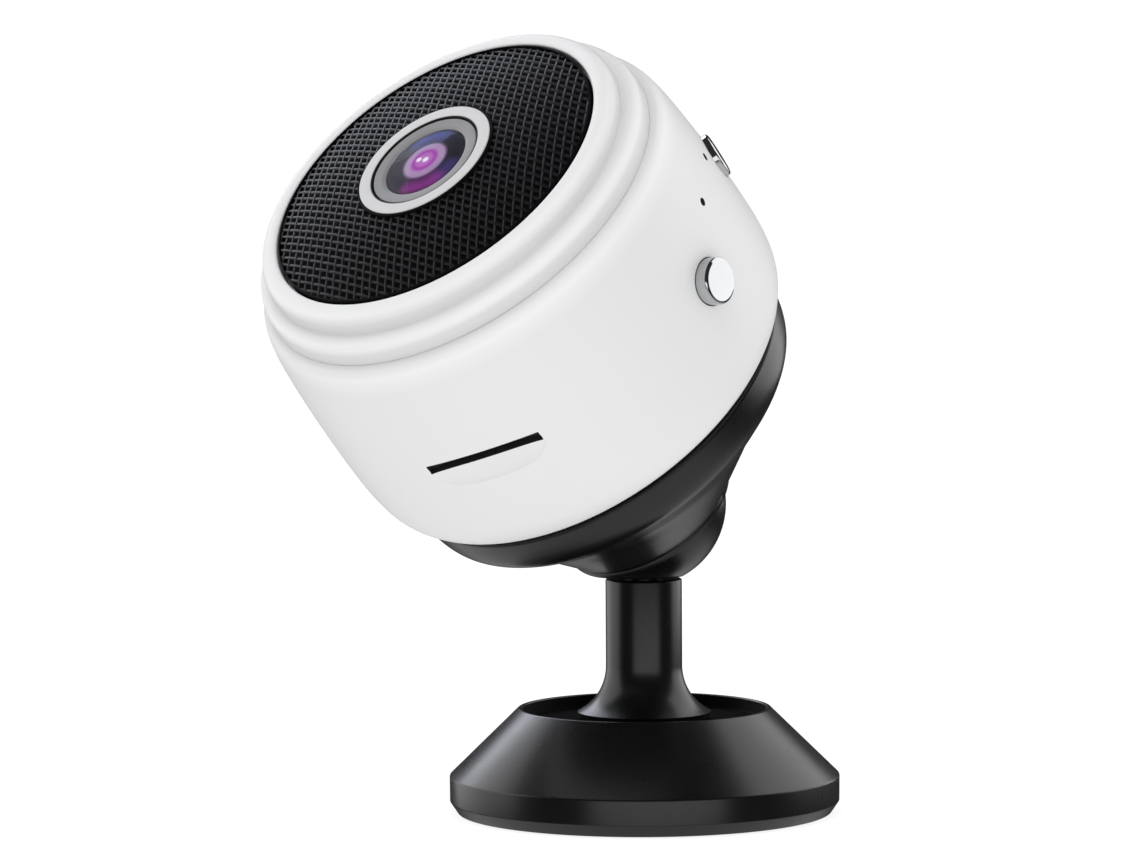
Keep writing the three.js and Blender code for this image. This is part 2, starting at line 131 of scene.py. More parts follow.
def flow(points, steps=6):
    """A smooth curve through all the points (centripetal Catmull-Rom)."""
    curve = []
    padded = [points[0]] + list(points) + [points[-1]]
    for a, b, c, d in zip(padded, padded[1:], padded[2:], padded[3:]):
        a, b, c, d = (Vector(p) for p in (a, b, c, d))
        chord = max((c - b).length, 1e-6)
        before = max((b - a).length, 1e-6)
        after = max((d - c).length, 1e-6)
        enter = (c - b) / chord if a == b else ((b - a) / before ** 0.5 + (c - b) / chord ** 0.5).normalized()
        leave = (c - b) / chord if c == d else ((c - b) / chord ** 0.5 + (d - c) / after ** 0.5).normalized()
        for i in range(steps):
            t = i / steps
            curve.append(tuple(
                b * (2 * t ** 3 - 3 * t ** 2 + 1) + enter * chord * (t ** 3 - 2 * t ** 2 + t)
                + c * (3 * t ** 2 - 2 * t ** 3) + leave * chord * (t ** 3 - t ** 2)))
    return curve + [tuple(points[-1])]


def rounded(corners, steps=5):
    """An outline from (radius, height, corner radius) points, with an arc at each rounded corner."""
    outline = []
    count = len(corners)
    for i, (x, y, size) in enumerate(corners):
        here = Vector((x, y))
        if size <= 0:
            outline.append((x, y))
            continue
        to_before = (Vector(corners[i - 1][:2]) - here).normalized()
        to_after = (Vector(corners[(i + 1) % count][:2]) - here).normalized()
        half = to_before.angle(to_after) / 2
        reach = size / math.tan(half)
        start = here + to_before * reach
        end = here + to_after * reach
        centre = here + (to_before + to_after).normalized() * size / math.sin(half)
        for step in range(steps + 1):
            spoke = (start - centre).slerp(end - centre, step / steps).normalized()
            outline.append(tuple(centre + spoke * size))
    return outline


def arc(radius, height, size, from_deg, to_deg, steps):
    angles = [math.radians(from_deg + (to_deg - from_deg) * i / steps) for i in range(steps + 1)]
    return [(radius + size * math.cos(a), height + size * math.sin(a)) for a in angles]


# ------------------------------------------------------------------ mesh helpers

def new_object(name, mesh, place, finish, sharp=32):
    mesh.transform(place)
    mesh.shade_smooth()
    mesh.set_sharp_from_angle(angle=math.radians(sharp))
    piece = bpy.data.objects.new(name, mesh)
    bpy.context.scene.collection.objects.link(piece)
    if finish:
        mesh.materials.append(finish)
    return piece


def mesh_from(name, points, faces):
    mesh = bpy.data.meshes.new(name)
    mesh.from_pydata([Vector(p) * MM for p in points], [], faces)
    shape = bmesh.new()
    shape.from_mesh(mesh)
    bmesh.ops.recalc_face_normals(shape, faces=shape.faces)
    shape.to_mesh(mesh)
    shape.free()
    return mesh


def revolve(name, outline, place, finish, segments=SEGMENTS, sharp=32, shifts=None):
    """A closed solid turned about local Z. The outline closes on itself, or starts and ends on the axis.
    Shifts move each ring of points along local Y."""
    points = []
    rings = []
    for (radius, height), shift in zip(outline, shifts or [0] * len(outline)):
        if radius < 1e-6:
            rings.append([len(points)] * segments)
            points.append((0, shift, height))
            continue
        rings.append(list(range(len(points), len(points) + segments)))
        for i in range(segments):
            angle = 2 * math.pi * i / segments
            points.append((radius * math.cos(angle), shift + radius * math.sin(angle), height))
    pairs = list(zip(rings, rings[1:]))
    if outline[0][0] > 1e-6 or outline[-1][0] > 1e-6:
        pairs.append((rings[-1], rings[0]))
    faces = []
    for low, high in pairs:
        for i in range(segments):
            j = (i + 1) % segments
            corners = list(dict.fromkeys((low[i], low[j], high[j], high[i])))
            if len(corners) > 2:
                faces.append(corners)
    return new_object(name, mesh_from(name, points, faces), place, finish, sharp)


def rounded_box(name, size, place, finish, edge=0.1, upright=0.0, steps=2):
    """A box with rounded edges; upright rounds the four edges along local Z more."""
    shape = bmesh.new()
    bmesh.ops.create_cube(shape, size=1)
    bmesh.ops.scale(shape, vec=Vector(size) * MM, verts=shape.verts)
    if upright:
        along = [e for e in shape.edges if abs((e.verts[0].co - e.verts[1].co).normalized().z) > 0.9]
        bmesh.ops.bevel(shape, geom=along, offset=upright * MM, segments=8, profile=0.5, affect="EDGES")
    if edge:
        sharp_edges = [e for e in shape.edges if e.calc_face_angle(0) > 0.9]
        bmesh.ops.bevel(
            shape, geom=sharp_edges, offset=edge * MM, segments=steps, profile=0.5, affect="EDGES")
    mesh = bpy.data.meshes.new(name)
    shape.to_mesh(mesh)
    shape.free()
    return new_object(name, mesh, place, finish)


def side_place(place, out=0.0):
    """Local Z points out of the head's side, X runs along the clock and Y towards the back."""
    clock, depth = place
    turn = Matrix.Rotation(-math.radians(clock), 4, "Z") @ Matrix.Rotation(-math.pi / 2, 4, "X")
    up = Matrix.Translation((0, 0, level(depth) * MM))
    return HEAD @ up @ turn @ Matrix.Translation((0, 0, out * MM))


def axial_place(clock, distance, depth):
    angle = math.radians(clock)
    spot = Vector((distance * math.sin(angle), distance * math.cos(angle), level(depth))) * MM
    return HEAD @ Matrix.Translation(spot)


def boolean(piece, tools, operation="DIFFERENCE", sharp=32):
    """Cuts or joins the tools in turn, and the cut faces take the tool's material."""
    for tool in tools:
        step = piece.modifiers.new("boolean", "BOOLEAN")
        step.operation = operation
        step.solver = "EXACT"
        step.material_mode = "TRANSFER"
        step.object = tool
    bpy.context.view_layer.update()
    graph = bpy.context.evaluated_depsgraph_get()
    mesh = bpy.data.meshes.new_from_object(piece.evaluated_get(graph))
    piece.modifiers.clear()
    piece.data = mesh
    for tool in tools:
        bpy.data.objects.remove(tool)
    mesh.shade_smooth()
    mesh.set_sharp_from_angle(angle=math.radians(sharp))
    return piece


def settle(piece, body, slot, *nodes):
    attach(piece, body)
    if nodes:
        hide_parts(*nodes)
    return piece


# ------------------------------------------------------------------ materials

class Finish:
    """A Principled material with helpers for procedural detail in the object's own coordinates."""

    def __init__(self, name, color, roughness, metallic=0.0, coat=0.0, specular=0.5, ior=1.5):
        self.material = bpy.data.materials.new(name)
        self.material.use_nodes = True
        self.tree = self.material.node_tree
        self.shader = self.tree.nodes["Principled BSDF"]
        self.color = color
        self.set("Base Color", (*color, 1))
        self.set("Roughness", roughness)
        self.set("Metallic", metallic)
        self.set("Coat Weight", coat)
        self.set("Specular IOR Level", specular)
        self.set("IOR", ior)
        self.where = self.node("ShaderNodeTexCoord").outputs["Object"]
        self.relief = None

    def in_head(self):
        """The object's coordinates turned into the head's own frame, in metres."""
        to_head = self.node("ShaderNodeMapping")
        to_head.inputs["Rotation"].default_value = (-rest_tilt, 0, 0)
        to_head.inputs["Location"].default_value = HEAD.inverted().translation
        self.link(self.where, to_head.inputs["Vector"])
        apart = self.node("ShaderNodeSeparateXYZ")
        self.link(to_head.outputs["Vector"], apart.inputs["Vector"])
        return apart.outputs["X"], apart.outputs["Y"], apart.outputs["Z"]

    def set(self, socket, value):
        self.shader.inputs[socket].default_value = value

    def node(self, kind, **settings):
        node = self.tree.nodes.new(kind)
        for key, value in settings.items():
            setattr(node, key, value)
        return node

    def link(self, source, target):
        self.tree.links.new(source, target)

    def noise(self, scale, detail=3.0, stretch=None):
        texture = self.node("ShaderNodeTexNoise")
        texture.inputs["Scale"].default_value = scale
        texture.inputs["Detail"].default_value = detail
        where = self.where
        if stretch:
            mapping = self.node("ShaderNodeMapping")
            mapping.inputs["Scale"].default_value = stretch
            self.link(where, mapping.inputs["Vector"])
            where = mapping.outputs["Vector"]
        self.link(where, texture.inputs["Vector"])
        return texture.outputs["Fac"]

    def ramp(self, value, stops, interpolation="LINEAR"):
        ramp = self.node("ShaderNodeValToRGB")
        ramp.color_ramp.interpolation = interpolation
        elements = ramp.color_ramp.elements
        while len(elements) < len(stops):
            elements.new(1.0)
        for element, (position, color) in zip(elements, stops):
            element.position = position
            element.color = (*color, 1)
        self.link(value, ramp.inputs["Fac"])
        return ramp.outputs["Color"]

    def tint(self, value, amount):
        """Base colour that drifts by amount either way."""
        low = tuple(c * (1 - amount) for c in self.color)
        high = tuple(min(c * (1 + amount), 1.0) for c in self.color)
        self.link(self.ramp(value, [(0.3, low), (0.7, high)]), self.shader.inputs["Base Color"])
        return self

    def gloss(self, value, low, high):
        spread = self.node("ShaderNodeMapRange")
        spread.inputs["To Min"].default_value = low
        spread.inputs["To Max"].default_value = high
        self.link(value, spread.inputs["Value"])
        self.link(spread.outputs["Result"], self.shader.inputs["Roughness"])
        return self

    def bump(self, value, depth, strength=1.0):
        bump = self.node("ShaderNodeBump")
        bump.inputs["Distance"].default_value = depth
        bump.inputs["Strength"].default_value = strength
        self.link(value, bump.inputs["Height"])
        if self.relief:
            self.link(self.relief, bump.inputs["Normal"])
        self.relief = bump.outputs["Normal"]
        self.link(self.relief, self.shader.inputs["Normal"])
        return self


WHITE = (0.77, 0.77, 0.775)


def moulded(name, color, rough_low, rough_high, grain=0.000004, tint=0.012, **settings):
    """Injection-moulded plastic: a very fine grain, slow drifts of gloss and a trace of colour drift."""
    finish = Finish(name, color, rough_low, **settings)
    finish.tint(finish.noise(90, 2), tint)
    finish.gloss(finish.noise(420, 4), rough_low, rough_high)
    finish.bump(finish.noise(9000, 2), grain)
    return finish


def metal(name, color, rough_low, rough_high, brushed=None, relief=0.000003):
    finish = Finish(name, color, rough_low, metallic=1.0)
    finish.tint(finish.noise(300, 3), 0.03)
    finish.gloss(finish.noise(900, 4, brushed), rough_low, rough_high)
    finish.bump(finish.noise(2500, 3, brushed), relief)
    return finish


def make_materials():
    made = {
        "white_plastic": moulded("white_plastic", WHITE, 0.42, 0.52),
        "ring_white": moulded("ring_white", (0.65, 0.65, 0.655), 0.5, 0.6, tint=0.03),
        "black_plastic": moulded("black_plastic", (0.003, 0.003, 0.0032), 0.25, 0.31, grain=0.000001),
        # A duller, darker black for the recess in the base: painted shade.
        "recess_painted_shade": moulded("recess_painted_shade", (0.0012, 0.0012, 0.0013), 0.6, 0.7, specular=0.02),
        "grey_plastic": moulded("grey_plastic", (0.245, 0.245, 0.25), 0.35, 0.45),
        "barrel_black": moulded("barrel_black", (0.006, 0.006, 0.007), 0.5, 0.65, grain=0.00001),
        "panel_black": moulded(
            "panel_black", (0.003, 0.003, 0.0035), 0.55, 0.7, grain=0.00001, specular=0.08),
        "chip_black": moulded("chip_black", (0.012, 0.012, 0.013), 0.45, 0.6, grain=0.00001),
        # Dark grey for the cut walls of the openings in the white shell: painted shade.
        "opening_painted_shade": moulded("opening_painted_shade", (0.028, 0.028, 0.029), 0.55, 0.7, grain=0.00001),
        "rubber": moulded("rubber", (0.014, 0.014, 0.0145), 0.7, 0.85, grain=0.00003),
        "led_clear": moulded("led_clear", (0.62, 0.68, 0.74), 0.08, 0.16, coat=0.4),
        "chrome": metal("chrome", (0.52, 0.53, 0.54), 0.04, 0.08, relief=0.0000001),
        "steel": metal("steel", (0.42, 0.42, 0.43), 0.28, 0.42, brushed=(1, 12, 1)),
        "nickel": metal("nickel", (0.58, 0.56, 0.5), 0.22, 0.34),
        "cell_silver": metal("cell_silver", (0.45, 0.46, 0.48), 0.35, 0.5),
        "copper": metal("copper", (0.72, 0.36, 0.18), 0.25, 0.4),
    }
    board = Finish("circuit_board", (0.016, 0.075, 0.03), 0.45)
    cells = board.node("ShaderNodeTexVoronoi", feature="DISTANCE_TO_EDGE", distance="MANHATTAN")
    cells.inputs["Scale"].default_value = 700
    board.link(board.where, cells.inputs["Vector"])
    traces = board.ramp(cells.outputs["Distance"], [(0.03, (0.05, 0.16, 0.06)), (0.06, board.color)])
    board.link(traces, board.shader.inputs["Base Color"])
    board.gloss(board.noise(600), 0.35, 0.55)
    board.bump(cells.outputs["Distance"], 0.00002)
    made["circuit_board"] = board
    return {name: finish.material for name, finish in made.items()}


def strand_material():
    """The panel's woven strands: dark graphite with a soft sheen and fine lengthwise fibres."""
    finish = Finish("woven_strand", (0.0048, 0.0049, 0.0064), 0.38, specular=0.14)
    finish.tint(finish.noise(500, 3), 0.25)
    finish.gloss(finish.noise(2500, 3), 0.32, 0.44)
    finish.bump(finish.noise(7000, 3), 0.00001)
    return finish.material


def painted_shade_casing():
    """White plastic whose steps are slightly darker at the foot and lighter on the crest: painted shade and
    painted highlight, set by depth.
    """
    finish = Finish("casing_painted_shade", WHITE, 0.45)
    _, _, height = finish.in_head()
    depth = finish.node("ShaderNodeMapRange")
    depth.inputs["From Min"].default_value = level(-2) * MM
    depth.inputs["From Max"].default_value = level(8) * MM
    finish.link(height, depth.inputs["Value"])
    # Painted shade and painted highlight: depth in mm, and how much darker or lighter than the plain white.
    shades = [
        (-0.1, 1.08), (0.25, 1.12), (0.7, 1.0), (1.1, 0.87), (1.9, 0.85), (2.15, 0.98), (2.5, 1.12),
        (2.9, 1.1), (3.4, 0.9), (4.3, 0.85), (4.62, 0.95), (4.9, 1.04), (5.5, 1.12), (6.2, 1.06), (7.4, 1.0)]
    stops = [((depth_mm + 2) / 10, tuple(channel * shade for channel in WHITE)) for depth_mm, shade in shades]
    finish.link(finish.ramp(depth.outputs["Result"], stops), finish.shader.inputs["Base Color"])
    finish.gloss(finish.noise(420, 4), 0.42, 0.52)
    finish.bump(finish.noise(9000, 2), 0.000004)
    return finish.material


def clear_glass():
    """Thin coated glass: light passes straight through, and a little is reflected, most at the edge."""
    material = bpy.data.materials.new("clear_glass")
    material.use_nodes = True
    tree = material.node_tree
    tree.nodes.clear()
    output = tree.nodes.new("ShaderNodeOutputMaterial")
    mix = tree.nodes.new("ShaderNodeMixShader")
    facing = tree.nodes.new("ShaderNodeLayerWeight")
    amount = tree.nodes.new("ShaderNodeMapRange")
    amount.inputs["To Min"].default_value = 0.002
    amount.inputs["To Max"].default_value = 0.014
    tree.links.new(facing.outputs["Facing"], amount.inputs["Value"])
    clear = tree.nodes.new("ShaderNodeBsdfTransparent")
    clear.inputs["Color"].default_value = (0.97, 0.96, 0.99, 1)
    shine = tree.nodes.new("ShaderNodeBsdfGlossy")
    shine.inputs["Roughness"].default_value = 0.03
    shine.inputs["Color"].default_value = (0.9, 0.88, 1.0, 1)
    tree.links.new(amount.outputs["Result"], mix.inputs["Fac"])
    tree.links.new(clear.outputs["BSDF"], mix.inputs[1])
    tree.links.new(shine.outputs["BSDF"], mix.inputs[2])
    tree.links.new(mix.outputs["Shader"], output.inputs["Surface"])
    return material


def lens_painted_reflections():
    """The inner lens seen through its coatings, with painted reflections: rings about the axis, and a blue
    and a magenta crescent.
    """
    finish = Finish("lens_painted_reflections", (0.012, 0.012, 0.016), 0.45, specular=0.08)
    x, y, _ = finish.in_head()

    def math_node(operation, a, b=None, c=None):
        node = finish.node("ShaderNodeMath", operation=operation)
        for socket, value in zip(node.inputs, (a, b, c)):
            if value is None:
                continue
            if isinstance(value, (int, float)):
                socket.default_value = value
            else:
                finish.link(value, socket)
        return node.outputs["Value"]

    radius = math_node("SQRT", math_node("ADD", math_node("POWER", x, 2), math_node("POWER", y, 2)))
    share = math_node("DIVIDE", radius, GLASS_R * MM)
    clock = math_node("ARCTAN2", x, y)
    # Painted reflections of the coatings, in coloured rings about the axis.
    rings = finish.ramp(share, [
        (0.0, (0.55, 0.2, 0.55)),
        (0.2, (0.5, 0.15, 0.5)),
        (0.27, (0.376, 0.045, 0.402)),
        (0.33, (0.42, 0.12, 0.44)),
        (0.38, (0.45, 0.3, 0.47)),
        (0.5, (0.42, 0.3, 0.45)),
        (0.55, (0.13, 0.1, 0.15)),
        (0.6, (0.016, 0.016, 0.023)),
        (0.85, (0.012, 0.012, 0.017)),
        (1.0, (0.03, 0.03, 0.034)),
    ])

    def glint(base, spot_x, spot_y, size):
        """Paints a small white spot, the reflection of a lamp in an inner element."""
        apart_x = math_node("POWER", math_node("SUBTRACT", x, spot_x * MM), 2)
        apart_y = math_node("POWER", math_node("SUBTRACT", y, spot_y * MM), 2)
        away = math_node("DIVIDE", math_node("SQRT", math_node("ADD", apart_x, apart_y)), size * MM)
        mask = finish.ramp(away, [(0.35, (1, 1, 1)), (1.0, (0, 0, 0))], "EASE")
        mix = finish.node("ShaderNodeMix", data_type="RGBA")
        finish.link(mask, mix.inputs["Factor"])
        finish.link(base, mix.inputs["A"])
        mix.inputs["B"].default_value = (0.95, 0.93, 0.95, 1)
        return mix.outputs["Result"]

    def crescent(base, clock_deg, half_deg, color, inner, outer):
        """Paints a soft patch centred on a clock angle, near the glass's edge: a painted reflection in the
        coatings.
        """
        turned = math_node("SUBTRACT", clock, math.radians(clock_deg))
        near = math_node("COSINE", turned)
        along = finish.node("ShaderNodeMapRange", interpolation_type="SMOOTHSTEP")
        along.inputs["From Min"].default_value = math.cos(math.radians(half_deg))
        along.inputs["From Max"].default_value = math.cos(math.radians(half_deg * 0.35))
        finish.link(near, along.inputs["Value"])
        across = finish.ramp(share, [
            (inner, (0, 0, 0)), ((inner + outer) / 2, (1, 1, 1)), (outer, (0, 0, 0))], "B_SPLINE")
        mask = math_node("MULTIPLY", along.outputs["Result"], across)
        mix = finish.node("ShaderNodeMix", data_type="RGBA")
        finish.link(mask, mix.inputs["Factor"])
        finish.link(base, mix.inputs["A"])
        mix.inputs["B"].default_value = (*color, 1)
        return mix.outputs["Result"]

    # Painted reflections: crescents of colour near the glass's edge, then two painted lamp glints near the
    # centre.
    color = crescent(rings, -25, 48, (0.045, 0.08, 0.34), 0.58, 1.14)
    color = crescent(color, 108, 34, (0.07, 0.05, 0.2), 0.6, 1.1)
    color = crescent(color, 152, 50, (0.32, 0.04, 0.3), 0.58, 1.12)
    color = glint(color, -0.7, 0.0, 0.42)
    color = glint(color, 0.15, 0.04, 0.46)
    finish.link(color, finish.shader.inputs["Base Color"])
    return finish.material


# ------------------------------------------------------------------ stand, ball and dish

def make_stand():
    black = materials["black_plastic"]
    base = rounded([
        (POCKET_R, BASE_UNDERSIDE, 0),
        (BASE_BOTTOM_R, BASE_UNDERSIDE, 0.25),
        (BASE_R - 0.02, BAND_LOW, 0.18),
        (BASE_R, BAND_TOP + 0.12, 0.3),
        (RIM_R + 0.02, RIM_Z, 0.22),
        (RIM_R - 0.34, RIM_Z, 0.16),
        (RIM_R - 0.9, RECESS_Z, 0.4),
        (2.8, RECESS_Z, 0),
        (2.8, 7.2, 0),
        (13.0, 7.2, 0),
        (POCKET_R, 4.2, 0),
    ], steps=6)
    shell = revolve("base_shell_fine", base, STAND, black, 256)
    # The recess floor and its inner wall take the duller, darker black: painted shade in the recess.
    shell.data.materials.append(materials["recess_painted_shade"])
    for face in shell.data.polygons:
        spot = face.center
        if spot.z > (RECESS_Z - 0.1) * MM and math.hypot(spot.x, spot.y) < (RIM_R - 0.4) * MM:
            face.material_index = 1
    settle(shell, "stand", "black_plastic", "base_shell")

    column = [
        (0, PIN_TOP),
        (PIN_R - 0.3, PIN_TOP),
        (PIN_R, PIN_TOP - 0.3),
        (PIN_R, COLUMN_TOP),
        *arc(STEM_R - 0.15, COLUMN_TOP - 0.15, 0.15, 90, 0, 4),
        *arc(STEM_R + FLARE_R, FLARE_TOP, FLARE_R, 180, 240, 24),
        (FOOT_R, FOOT_TOP - 0.03),
        (FOOT_R - 0.1, RECESS_Z + 0.3),
        (2.5, RECESS_Z + 0.3),
        (2.5, 7.3),
        (1.25, 7.3),
        (1.25, 16.5),
        (0, 16.5),
    ]
    settle(revolve("stem_fine", column, STAND, black, 128), "stand", "black_plastic", "stem")

    tread = [(0, 0), (5.0, 0)]
    for ridge in range(7):
        inner = 5.0 + ridge * 1.5
        tread += [(inner, 0), (inner + 0.1, 0.12), (inner + 0.5, 0.12), (inner + 0.6, 0)]
    tread += [(POCKET_R - 0.5, 0), (POCKET_R - 0.3, 0.2), (POCKET_R - 0.3, 1.0), (0, 1.0)]
    settle(revolve("base_pad_fine", tread, STAND, materials["rubber"], 128), "stand", "rubber", "base_pad")


def make_ball():
    flat_edge = -math.degrees(math.asin(BALL_FLAT / BALL_R))
    outline = [
        (0, -1.2),
        (2.1, -1.2),
        (2.1, -BALL_FLAT),
        *arc(0, 0, BALL_R, flat_edge, 90, 48)[:-1],
        (0, BALL_R),
    ]
    ball = revolve("ball_fine", outline, BALL, materials["black_plastic"], 128)
    settle(ball, "ball", "black_plastic", "ball")


def make_dish():
    black = materials["black_plastic"]
    socket = [(0, SOCKET_R), *arc(0, 0, SOCKET_R, 86, -6.2, 30)]
    outside = [
        *arc(8.86, -0.78, 0.12, -80, -30, 4),
        *flow([
            (8.98, -0.35), (10.4, 1.12), (12.8, 3.6), (14.7, 5.55), (15.7, 6.42), (16.7, 7.22), (18.15, 8.45),
            (19.1, 9.3), (19.6, 9.95), (19.92, 10.8), (DISH_RIM_R - 0.16, 12.0), (DISH_RIM_R, 13.45)], 6),
        *arc(DISH_RIM_R - 0.22, 13.48, 0.22, 0, 90, 5),
        *arc(DISH_RIM_R - 0.7, 13.45, 0.25, 90, 160, 4),
        *flow([(19.2, 13.0), (18.2, 11.8), (17.0, 10.6), (15.9, 9.85), (14.8, DISH_FLOOR)], 4),
        (12.4, DISH_FLOOR),
        (12.3, DISH_FLOOR - 0.1),
        (0, DISH_FLOOR - 0.1),
    ]
    slope = [min(max((KINK_H - height) / (KINK_H + NECK_DROP), 0), 1) for _, height in outside]
    shifts = [-HEAD_OFFSET] * len(socket) + [-HEAD_OFFSET * share for share in slope]
    dish = revolve("holder_dish_fine", socket + outside, HEAD, black, 256, sharp=40, shifts=shifts)
    settle(dish, "dish", "black_plastic", "holder_dish")

    low = DISH_FLOOR + 0.3
    magnet = rounded([
        (0, low, 0), (MAGNET_R, low, 0.3), (MAGNET_R, low + 1.9, 0.35), (0, low + 1.9, 0)])
    settle(revolve("holder_magnet_fine", magnet, HEAD, materials["nickel"], 128),
           "dish", "nickel", "holder_magnet")

    low = DISH_FLOOR + 2.5
    pad = [(0, low), (PAD_R - 0.2, low), (PAD_R, low + 0.2)]
    pad += arc(PAD_R - 0.3, low + 0.6, 0.3, 0, 90, 5)
    for ridge in range(6):
        outer = PAD_R - 1.2 - ridge * 1.7
        pad += [(outer, low + 0.9), (outer - 0.12, low + 0.74), (outer - 0.42, low + 0.74),
                (outer - 0.54, low + 0.9)]
    pad += [(0, low + 0.9)]
    settle(revolve("holder_pad_fine", pad, HEAD, materials["rubber"], 128),
           "holder_pad", "rubber", "holder_pad")


# ------------------------------------------------------------------ head: casing

def make_bezel():
    outside = flow([
        (16.95, 0.4), (16.98, 0.14), (17.18, -0.03), (17.65, -0.09), (18.15, 0.02), (18.58, 0.36),
        (18.84, 0.8), (18.92, 1.3), (18.92, 1.95)], 6)
    outside += flow([
        (18.98, 2.06), (19.4, 2.14), (19.85, 2.36), (20.2, 2.74), (20.4, 3.3), (20.46, 3.8),
        (20.47, SEAM - 0.04)], 6)
    inside = [
        (CAVITY_R - 0.3, SEAM - 0.02), (CAVITY_R - 0.3, 7.0), (18.9, 7.0), (18.6, 4.2), (17.4, 3.2),
        (14.5, 3.2), (14.5, 1.5), (16.95, 1.5)]
    bezel = revolve("front_bezel_fine", by_depth(outside + inside), HEAD, materials["casing"], 256)
    settle(bezel, "camera_head", "white_plastic", "front_bezel")


def make_shell():
    outside = flow([
        (20.48, SEAM), (20.66, SEAM + 0.06), (21.0, 4.72), (21.34, 5.14), (21.6, 5.8), (21.78, 6.6),
        (21.94, 7.6), (22.17, 9.9), (22.4, 13.5), (22.54, 17.4), (HEAD_R, 21.0), (22.5, 24.0), (22.15, 26.3),
        (21.55, 27.6), (20.85, 28.4), (20.2, 28.8),
    ], 6)
    inside = [
        (18.1, 28.8), (18.0, 28.7), (18.0, 27.0), (12.6, 27.0), (12.6, 25.5), (19.4, 25.5),
        (CAVITY_R, 24.3), (CAVITY_R, 5.3), (CAVITY_R - 0.22, 5.1), (CAVITY_R - 0.22, SEAM)]
    shell = revolve("body_shell_fine", by_depth(outside + inside), HEAD, materials["casing"], 256)
    # The cut walls of the card slot, USB opening, pin holes and screw bores take this dark grey: painted
    # shade inside the openings.
    dark = materials["opening_painted_shade"]

    corners = []
    for side in (1, -1):
        for i in range(25):
            along = side * (1 - i / 12)
            bow = SLOT_BOW * (1 - along ** 2)
            corners.append((along * SLOT_WIDTH / 2, side * SLOT_HEIGHT / 2 - bow))
    count = len(corners)
    points = [(x, y, z) for z in (-1.7, 3.0) for x, y in corners]
    faces = [list(range(count)), list(range(count, 2 * count))]
    faces += [(i, (i + 1) % count, count + (i + 1) % count, count + i) for i in range(count)]
    slot = new_object("slot_cutter", mesh_from("slot_cutter", points, faces), side_place(SLOT, HEAD_R), dark)
    scoop = bmesh.new()
    bmesh.ops.create_uvsphere(scoop, u_segments=128, v_segments=64, radius=1)
    for vertex in scoop.verts:
        vertex.co.x = math.copysign(abs(vertex.co.x) ** 0.6, vertex.co.x)
    bmesh.ops.scale(scoop, vec=Vector(SCOOP) * MM, verts=scoop.verts)
    bmesh.ops.bisect_plane(scoop, geom=scoop.verts[:] + scoop.edges[:] + scoop.faces[:], plane_co=(0, 0, 0),
                           plane_no=(0, -1, 0), clear_outer=True)
    bmesh.ops.holes_fill(scoop, edges=scoop.edges)
    bmesh.ops.translate(scoop, vec=Vector((0, -0.1, 0)) * MM, verts=scoop.verts)
    for vertex in scoop.verts:
        vertex.co.z += math.sqrt((HEAD_R * MM) ** 2 - vertex.co.x ** 2) - HEAD_R * MM
    bmesh.ops.recalc_face_normals(scoop, faces=scoop.faces)
    scoop_mesh = bpy.data.meshes.new("scoop_cutter")
    scoop.to_mesh(scoop_mesh)
    scoop.free()
    white = materials["white_plastic"]
    bowl = new_object("scoop_cutter", scoop_mesh, side_place(SLOT, SCOOP_CENTRE_R), white)

    tools = [bowl, slot]
    tools.append(rounded_box("usb_cutter", (USB_WIDTH, USB_HEIGHT, 6), side_place(USB, HEAD_R), dark, 0, 1.2))
    for number, place in enumerate((RESET, POWER)):
        bore = rounded([
            (0, 19.0, 0), (BUTTON_R + 0.08, 19.0, 0), (BUTTON_R + 0.08, 26.0, 0), (0, 26.0, 0)])
        tools.append(revolve(f"button_bore_{number}", bore, side_place(place), white, 64))
    for number, place in enumerate((LED_HOLE, MIC_HOLE)):
        hole = [(0, 19.0), (PIN_HOLE_R, 19.0), (PIN_HOLE_R, 25.0), (0, 25.0)]
        tools.append(revolve(f"pin_hole_{number}", hole, side_place(place), dark, 32))
    for clock in COVER_SCREW_CLOCKS:
        bore = [(0, -3.0), (1.0, -3.0), (1.0, 3.0), (0, 3.0)]
        place = axial_place(clock, COVER_SCREW_RADIUS, 26.5)
        tools.append(revolve(f"screw_bore_{clock}", bore, place, dark, 24))
    boolean(shell, tools)
    settle(shell, "camera_head", "white_plastic", "body_shell")


def make_back():
    outline = by_depth(
        [(0, 27.3), (17.5, 27.3), (17.6, 27.4)]
        + flow([(17.6, 28.5), (17.4, 28.78), (14.2, 29.2), (13.0, 29.36)], 4)
        + [(12.6, 29.34), (12.5, 29.24), (12.3, 29.24), (12.2, 29.36), (0, 29.4)])
    cover = revolve("back_cover_fine", outline, HEAD, materials["white_plastic"], 192)
    tools = []
    for clock in COVER_SCREW_CLOCKS:
        seat = [(0, -1.0), (1.0, -1.0), (1.0, 0.0), (2.1, 0.0), (2.1, 3.0), (0, 3.0)]
        place = axial_place(clock, COVER_SCREW_RADIUS, 27.9) @ Matrix.Rotation(math.pi, 4, "X")
        tools.append(revolve(f"screw_seat_{clock}", seat, place, materials["white_plastic"], 48))
    boolean(cover, tools)
    settle(cover, "camera_head", "white_plastic", "back_cover")

    for number, clock in enumerate(COVER_SCREW_CLOCKS, start=1):
        place = axial_place(clock, COVER_SCREW_RADIUS, 28.9) @ Matrix.Rotation(math.pi, 4, "X")
        make_screw(f"back_cover_screw_{number}", place, clock * 1.7)


